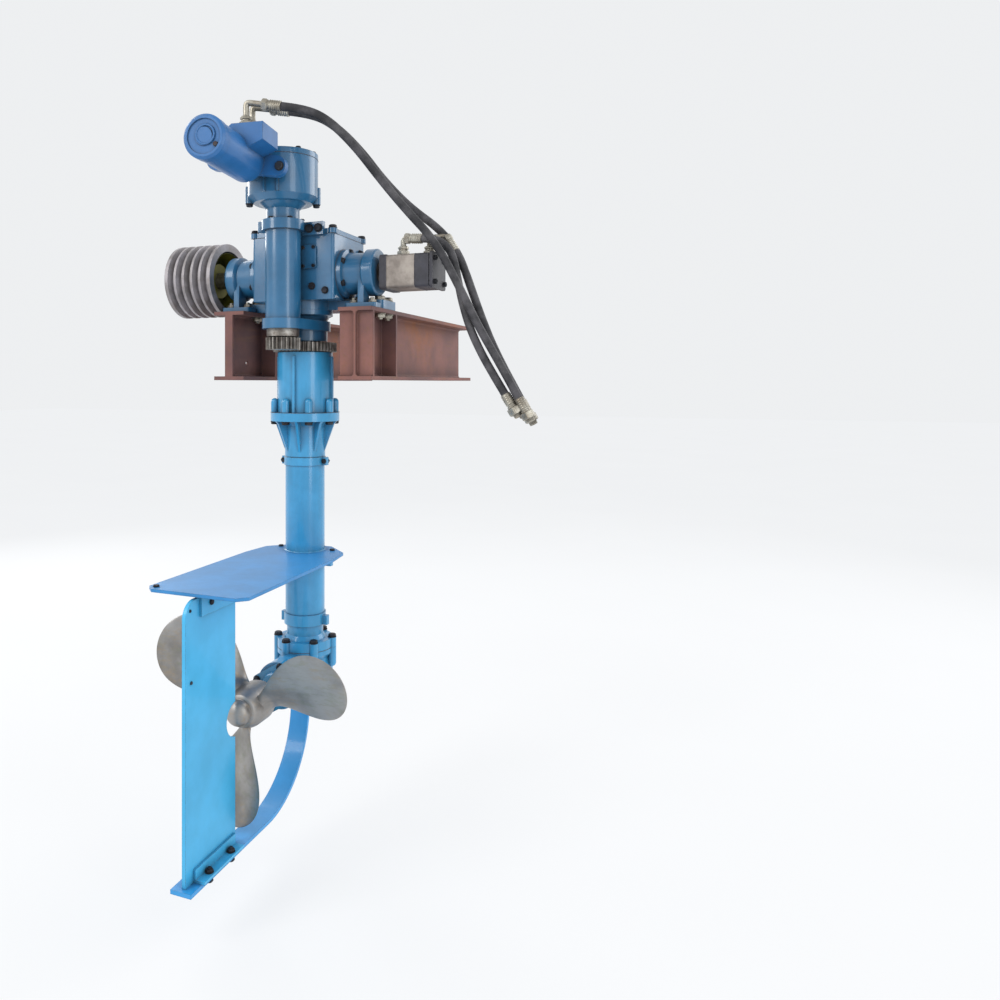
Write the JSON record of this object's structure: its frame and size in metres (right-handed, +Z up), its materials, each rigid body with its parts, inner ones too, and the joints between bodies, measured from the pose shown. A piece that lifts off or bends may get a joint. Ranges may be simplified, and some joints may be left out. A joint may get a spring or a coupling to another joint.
{
  "type": "marine thruster",
  "caption": "Belt driven azimuthing marine thruster: right-angle gearbox on deck beams, steerable leg, gearcase, propeller, fin, guard bar and hydraulic steering.",
  "frame": {"origin": "on the steering axis, level with the underside of the deck beams", "axes": "+Z up along the steering axis, +X towards the gear pump, +Y forward, away from the propeller"},
  "size_m": [1.1012, 1.465, 1.8757],
  "materials": {
    "beam_primer": "matt rust-brown primer",
    "blue_paint": "glossy blue enamel",
    "plate_paint": "glossy deep blue enamel",
    "fin_paint": "satin light blue enamel",
    "black_paint": "satin black",
    "grey_iron": "machined grey iron",
    "olive_plate": "yellow-green passivated",
    "plated_steel": "zinc plated",
    "gear_steel": "oiled and ground",
    "bearing_steel": "ground",
    "bronze": "machined bronze",
    "aluminium_cast": "machined aluminium",
    "propeller_steel": "ground stainless with heat tints",
    "hose_rubber": "smooth black rubber"
  },
  "bodies": {
    "frame": {"left_beam": "beam_primer", "right_beam": "beam_primer", "gearbox_housing": "blue_paint", "gearbox_lid": "blue_paint", "inspection_panel": "blue_paint", "right_carrier": "blue_paint", "left_carrier": "blue_paint", "deck_bolts": "plated_steel", "gearbox_bearings": "bearing_steel", "pump_adapter": "black_paint", "pump_body": "aluminium_cast", "pump_bushes": "bronze", "pump_cover": "black_paint", "pump_end": "black_paint", "slewing_spigot": "blue_paint", "column_arm": "blue_paint", "column": "blue_paint", "worm_housing": "blue_paint", "worm_housing_lid": "blue_paint", "steering_bearings": "bearing_steel", "steer_motor_body": "blue_paint", "steer_motor_cap": "blue_paint", "casing_bolts": "plated_steel", "pump_fittings": "plated_steel", "steer_fittings": "plated_steel", "pump_hose_a": "hose_rubber", "pump_hose_b": "hose_rubber", "steer_hose_a": "hose_rubber", "steer_hose_b": "hose_rubber", "hose_ends": "plated_steel"},
    "input_line": {"input_shaft": "gear_steel", "drive_pulley": "grey_iron", "pulley_bush": "olive_plate", "input_bevel": "gear_steel", "pump_drive_gear": "gear_steel"},
    "pump_idler": {"pump_idler_gear": "gear_steel"},
    "drive_line": {"drive_shaft": "gear_steel", "driven_bevel": "gear_steel", "lower_bevel": "gear_steel"},
    "pinion_line": {"steering_pinion": "gear_steel", "worm_wheel": "bronze"},
    "worm_line": {"worm": "gear_steel"},
    "leg": {"steer_ring_gear": "gear_steel", "leg_head": "blue_paint", "leg_bell": "blue_paint", "tube_clamps": "blue_paint", "leg_tube": "blue_paint", "cavitation_plate": "plate_paint", "leg_adapter": "blue_paint", "gearcase": "blue_paint", "shaft_cap": "blue_paint", "leg_bolts": "plated_steel", "leg_bearings": "bearing_steel", "fin": "fin_paint", "fin_brackets": "blue_paint", "guard_bar": "blue_paint"},
    "propeller_line": {"propeller_shaft": "gear_steel", "propeller": "propeller_steel", "propeller_nut": "propeller_steel", "crown_bevel": "gear_steel"}
  },
  "joints": [
    {"name": "input_spin", "type": "hinge", "parent": "frame", "child": "input_line", "pos_m": [0, 0, 0.302], "axis": [1, 0, 0], "continuous": true},
    {"name": "steer", "type": "hinge", "parent": "frame", "child": "leg", "pos_m": [0, 0, 0], "axis": [0, 0, 1], "continuous": true},
    {"name": "drive_spin", "type": "hinge", "parent": "frame", "child": "drive_line", "pos_m": [0, 0, 0.2], "axis": [0, 0, 1], "continuous": true},
    {"name": "pump_idler_spin", "type": "hinge", "parent": "frame", "child": "pump_idler", "pos_m": [0.25, 0.0325, 0.302], "axis": [1, 0, 0], "continuous": true},
    {"name": "propeller_spin", "type": "hinge", "parent": "leg", "child": "propeller_line", "pos_m": [0, -0.3, -0.838], "axis": [0, 1, 0], "continuous": true},
    {"name": "pinion_spin", "type": "hinge", "parent": "frame", "child": "pinion_line", "pos_m": [0, -0.132, 0.3], "axis": [0, 0, 1], "continuous": true},
    {"name": "worm_spin", "type": "hinge", "parent": "frame", "child": "worm_line", "pos_m": [-0.051, -0.13917, 0.57], "axis": [0.1392, -0.9903, 0], "continuous": true}
  ],
  "couplings": [
    {"joint": "drive_spin", "follows": "input_spin", "ratio": 0.8},
    {"joint": "pump_idler_spin", "follows": "input_spin", "ratio": -1},
    {"joint": "propeller_spin", "follows": "input_spin", "ratio": 0.55385},
    {"joint": "pinion_spin", "follows": "steer", "ratio": -2},
    {"joint": "worm_spin", "follows": "steer", "ratio": 60}
  ]
}
